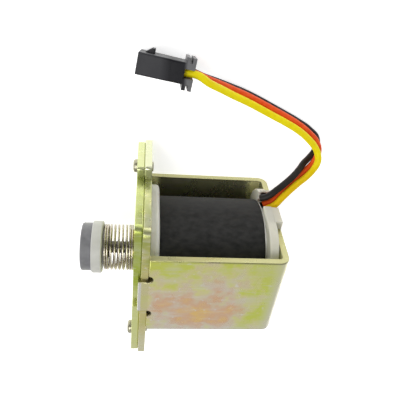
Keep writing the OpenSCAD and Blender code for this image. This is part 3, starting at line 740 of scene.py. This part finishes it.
# Tape
# Black cloth tape wound tight round the coil, its end lapped on the side away from the leads. It is matt,
# with a fine weave, a few shallow creases and slightly frayed rims.
TAPE_R = 0.013567
TAPE_IN_R = 0.013137
TAPE_LAP_T = 0.0002
TAPE_LAP_HALF = 0.00455
TAPE_SHORT = 0.00035
TAPE_ROUND = 180
TAPE_ROWS = 48
TAPE_RIM = 0.00012
CREASE_DEEP = 0.00003
RIPPLE_DEEP = 0.000012
tape_back = rear_front + TAPE_SHORT
tape_front = -FLANGE_T - PRESS_GAP
tape = bmesh.new()
weave = tape.loops.layers.uv.new("weave")
grid = []
for i in range(TAPE_ROWS + 1):
    share = i / TAPE_ROWS
    x = tape_back + (tape_front - tape_back) * share
    row = []
    for k in range(TAPE_ROUND):
        angle = math.tau * k / TAPE_ROUND
        lap = TAPE_LAP_T if abs(TAPE_R * math.sin(angle)) < TAPE_LAP_HALF and math.cos(angle) > 0 else 0
        crease = math.sin(3 * angle + 9 * share) * math.sin(11 * share + 2 * angle)
        ripple = math.sin(14 * angle + 5 * share + 2 * math.sin(6 * share))
        rim = TAPE_RIM if i in (0, TAPE_ROWS) else 0
        radius = TAPE_R + lap - rim - CREASE_DEEP * (1 - crease) - RIPPLE_DEEP * (1 - ripple)
        row.append(tape.verts.new((x, radius * math.cos(angle), radius * math.sin(angle))))
    grid.append(row)
inner = [[tape.verts.new((x, TAPE_IN_R * math.cos(math.tau * k / TAPE_ROUND),
                          TAPE_IN_R * math.sin(math.tau * k / TAPE_ROUND))) for k in range(TAPE_ROUND)]
         for x in (tape_front, tape_back)]
grid += inner
for i, (low, high) in enumerate(zip(grid, grid[1:] + grid[:1])):
    for k in range(TAPE_ROUND):
        j = (k + 1) % TAPE_ROUND
        face = tape.faces.new((low[k], low[j], high[j], high[k]))
        for loop, around, along in zip(face.loops, (k, k + 1, k + 1, k), (i, i, i + 1, i + 1)):
            loop[weave].uv = (math.tau * TAPE_R * around / TAPE_ROUND,
                              (tape_front - tape_back) * along / TAPE_ROWS)
bmesh.ops.recalc_face_normals(tape, faces=tape.faces)
tape.transform(on_axis)
tape_cloth, tree, shader, place = new_finish("tape_cloth")
laid = tree.nodes.new("ShaderNodeUVMap")
laid.uv_map = "weave"
threads = []
for way in ("X", "Y"):
    wave = tree.nodes.new("ShaderNodeTexWave")
    wave.bands_direction = way
    wave.inputs["Scale"].default_value = 1500
    wave.inputs["Distortion"].default_value = 0.8
    tree.links.new(laid.outputs["UV"], wave.inputs["Vector"])
    threads.append(wave.outputs["Fac"])
dust = grain(tree, place, 0.0012, 6, (0.6, 1, 1))
cloth = weigh(tree, (threads[0], 0.12), (threads[1], 0.12), (dust, 0.9))
tree.links.new(tint(tree, cloth, (0.35, (0.006, 0.006, 0.006)), (0.75, (0.034, 0.034, 0.033))),
               shader.inputs["Base Color"])
tree.links.new(span(tree, dust, 0.62, 0.8), shader.inputs["Roughness"])
shader.inputs["Specular IOR Level"].default_value = 0.25
shader.inputs["Sheen Weight"].default_value = 0.05
shader.inputs["Sheen Roughness"].default_value = 0.5
relief(tree, shader, cloth, 0.00004)
place_piece("tape_wrap", tape, tape_cloth, "magnet", "tape_black", "insulation_tape")


# Guide sleeve, ring, shim and bush
# A thin brass tube closed by the fixed core, a rubber ring that seals its flange, a brass shim on the pole
# face, and a turned brass bush that guides the stem in the plates. All but the bush are hidden in the coil.
sleeve_brass = metal("turned_brass", (0.52, 0.38, 0.14), (0.70, 0.54, 0.24), (0.22, 0.36), 0.0009,
                     (0.15, 1, 1))
ring_rubber = moulded("ring_rubber", (0.012, 0.012, 0.012), (0.03, 0.03, 0.03), (0.5, 0.7))[0]
dress(sleeve_brass, "guide_sleeve", "antistick_shim", "plate_bush")
dress(ring_rubber, "sleeve_o_ring")


# Fixed core
# A pole piece turned from soft iron. Its stud goes through the base of the yoke and is riveted over
# outside, which leaves a round-edged head with the mark of the punch.
CORE_R = 0.00418
CORE_LEN = 0.0124
STUD_SHANK_R = 0.0025
STUD_HEAD_R = 0.0034
STUD_HEAD_H = 0.001
CORE_EDGE = 0.0003
# Depth and radius of the punch mark, then depth and inset of the head's rounded edge
PUNCH_MARK = ((0.00018, 0), (0.00012, 0.0008), (0, 0.0012))
HEAD_ROUND = ((0, 0.0004), (0.00015, 0.0001), (0.0004, 0))
core_steel = metal("turned_iron", (0.34, 0.34, 0.33), (0.52, 0.52, 0.50), (0.28, 0.44), 0.0008, (0.2, 1, 1))
head = -YOKE_LEN - STUD_HEAD_H
core_seat = base_in + PRESS_GAP
pole_face = base_in + CORE_LEN
core_profile = [(head + deep, radius) for deep, radius in PUNCH_MARK]
core_profile += [(head + deep, STUD_HEAD_R - inset) for deep, inset in HEAD_ROUND]
core_profile += [(-YOKE_LEN, STUD_HEAD_R), (-YOKE_LEN, STUD_SHANK_R), (core_seat, STUD_SHANK_R),
                 (core_seat, CORE_R), (pole_face - CORE_EDGE, CORE_R), (pole_face, CORE_R - CORE_EDGE),
                 (pole_face, 0)]
core = turned(core_profile)
core.transform(on_axis)
place_piece("core_riveted", core, core_steel, "magnet", "core_steel", "fixed_core")


# Plunger and stem
# A soft iron plunger pressed on a drawn steel stem, which carries the valve head. A spring clip in the
# stem's groove keeps the disc from sliding back.
stem_steel = metal("drawn_steel", (0.15, 0.14, 0.12), (0.30, 0.28, 0.25), (0.3, 0.48), 0.0006, (0.12, 1, 1))
dress(core_steel, "plunger")
dress(stem_steel, "plunger_stem", "disc_clip")


# Valve disc
# A white acetal disc on the stem. Its hub centres the spring, and its face backs the rubber pad.
DISC_BACK = 0.01135
DISC_T = 0.0026
DISC_R = 0.0066
HUB_R = 0.0046
HUB_H = 0.0013
STEM_HOLE_R = 0.00152
SEAL_BACK = DISC_BACK + DISC_T


def eased_profile(corners, steps=4):
    """An open profile through corners (x, radius, easing), rounded at each corner by its easing."""
    line = eased_outline([(x, r, 0 if i in (0, len(corners) - 1) else ease)
                          for i, (x, r, ease) in enumerate(corners)], steps)
    return [(p.x, max(p.y, 0)) for p in line]


disc_acetal = moulded("white_acetal", (0.59, 0.585, 0.555), (0.65, 0.645, 0.615), (0.34, 0.5))[0]
disc_line = eased_profile([
    (DISC_BACK - HUB_H, STEM_HOLE_R, 0), (DISC_BACK - HUB_H, HUB_R, 0.0003), (DISC_BACK, HUB_R, 0.0002),
    (DISC_BACK, DISC_R, 0.0004), (SEAL_BACK, DISC_R, 0.0003), (SEAL_BACK, STEM_HOLE_R, 0)])
disc = turned(disc_line, 96)
disc.transform(on_axis)
place_piece("disc_moulding", disc, disc_acetal, "valve_head", "disc_white", "valve_disc")


# Seal pad
# Grey nitrile rubber, moulded over the stem's head, with a flat face that closes the gas seat.
SEAL_T = 0.00265
SEAL_R = 0.00605
POCKET_R = 0.00272
POCKET_D = 0.00077
seal_rubber, tree, shader, place = moulded(
    "grey_nitrile", (0.165, 0.165, 0.177), (0.22, 0.22, 0.235), (0.42, 0.58), 0.0015, 0.0004, 0.00002)
shader.inputs["Sheen Weight"].default_value = 0.7
shader.inputs["Sheen Roughness"].default_value = 0.4
seal_line = eased_profile([
    (SEAL_BACK + POCKET_D, 0, 0), (SEAL_BACK + POCKET_D, POCKET_R, 0.00005), (SEAL_BACK, POCKET_R, 0.00005),
    (SEAL_BACK, SEAL_R, 0.0002), (SEAL_BACK + SEAL_T, SEAL_R, 0.0005), (SEAL_BACK + SEAL_T, 0, 0)])
seal = turned(seal_line, 96)
seal.transform(on_axis)
place_piece("seal_moulding", seal, seal_rubber, "valve_head", "seal_grey", "seal_pad")


# Return spring
# Drawn steel wire coiled with two close turns at each end, between the plate and the disc. It pushes the
# seal out, and shortens by the stroke when the plunger is pulled in.
SPRING_R = 0.00585
SPRING_WIRE = 0.00055
SPRING_LEN = 0.00785
SPRING_CLOSED = 2
SPRING_OPEN = 5
SPRING_STEPS = 48
SPRING_SIDES = 10
closed_pitch = SPRING_WIRE + 2 * PRESS_GAP
open_pitch = (SPRING_LEN - SPRING_WIRE - 2 * PRESS_GAP - 2 * SPRING_CLOSED * closed_pitch) / SPRING_OPEN
turns = 2 * SPRING_CLOSED + SPRING_OPEN
middle_r = SPRING_R - SPRING_WIRE / 2
spring = bmesh.new()
rings = []
for i in range(round(turns * SPRING_STEPS) + 1):
    a = i / SPRING_STEPS
    opened = max(0, min(SPRING_OPEN, a - SPRING_CLOSED))
    x = 2 * PLATE_T + PRESS_GAP + SPRING_WIRE / 2 + (a - opened) * closed_pitch + opened * open_pitch
    outward = Vector((0, math.cos(math.tau * a), math.sin(math.tau * a)))
    ring = []
    for k in range(SPRING_SIDES):
        b = math.tau * k / SPRING_SIDES
        ring.append(spring.verts.new(Vector((x, 0, 0)) + outward * (middle_r + SPRING_WIRE / 2 * math.cos(b))
                                     + Vector((SPRING_WIRE / 2 * math.sin(b), 0, 0))))
    rings.append(ring)
for low, high in zip(rings, rings[1:]):
    for k in range(SPRING_SIDES):
        j = (k + 1) % SPRING_SIDES
        spring.faces.new((low[k], low[j], high[j], high[k]))
spring.faces.new(rings[0])
spring.faces.new(rings[-1])
bmesh.ops.recalc_face_normals(spring, faces=spring.faces)
spring.transform(on_axis)
spring_steel = metal("spring_wire", (0.44, 0.39, 0.33), (0.68, 0.62, 0.54), (0.2, 0.36), 0.0008)
coil = place_piece("spring_coil", spring, spring_steel, "magnet", "spring_steel", "return_spring")
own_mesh(coil)


# Floor and light
# A plain white sheet that glows a little, a soft light above, a weaker one low on the lead side, and a pale
# room that is dim on the camera's side.
FLOOR_HALF = 0.9
FLOOR_GLOW = 0.68
FLOOR_DROP = 0.0001
ROOM_PALE = 0.58
ROOM_DIM = 0.16
floor_form = bmesh.new()
bmesh.ops.create_grid(floor_form, x_segments=1, y_segments=1, size=FLOOR_HALF)
floor_mesh = bpy.data.meshes.new("floor")
floor_form.to_mesh(floor_mesh)
floor_form.free()
floor = bpy.data.objects.new("floor", floor_mesh)
floor.location.z = -FLOOR_DROP
scene.collection.objects.link(floor)
floor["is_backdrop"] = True
sheet_white, tree, shader, place = moulded(
    "white_sheet", (0.90, 0.90, 0.90), (0.93, 0.93, 0.93), (0.7, 0.8), 0.02)
shader.inputs["Emission Color"].default_value = (1, 1, 1, 1)
shader.inputs["Emission Strength"].default_value = FLOOR_GLOW
floor_mesh.materials.append(sheet_white)
for name, at, size, power in (("soft_light", (0.25, -0.15, 0.6), 0.4, 2.3),
                              ("fill_light", (-0.2, -0.6, 0.06), 0.4, 0.6)):
    lamp = bpy.data.lights.new(name, "AREA")
    lamp.size = size
    lamp.energy = power
    light = bpy.data.objects.new(name, lamp)
    light.location = at
    light.rotation_euler = (-Vector(at)).to_track_quat("-Z", "Y").to_euler()
    scene.collection.objects.link(light)
room = bpy.data.worlds.new("room")
room.use_nodes = True
walls = room.node_tree.nodes["Background"]
walls.inputs["Color"].default_value = (1, 1, 1, 1)
look = room.node_tree.nodes.new("ShaderNodeTexCoord")
towards = room.node_tree.nodes.new("ShaderNodeVectorMath")
towards.operation = "DOT_PRODUCT"
towards.inputs[1].default_value = Vector((0, -0.8, 0.6))
room.node_tree.links.new(look.outputs["Generated"], towards.inputs[0])
room.node_tree.links.new(span(room.node_tree, towards.outputs["Value"], ROOM_PALE, ROOM_DIM, 0.2, 0.8),
                         walls.inputs["Strength"])
scene.world = room
scene.view_settings.view_transform = "Standard"

low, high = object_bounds()
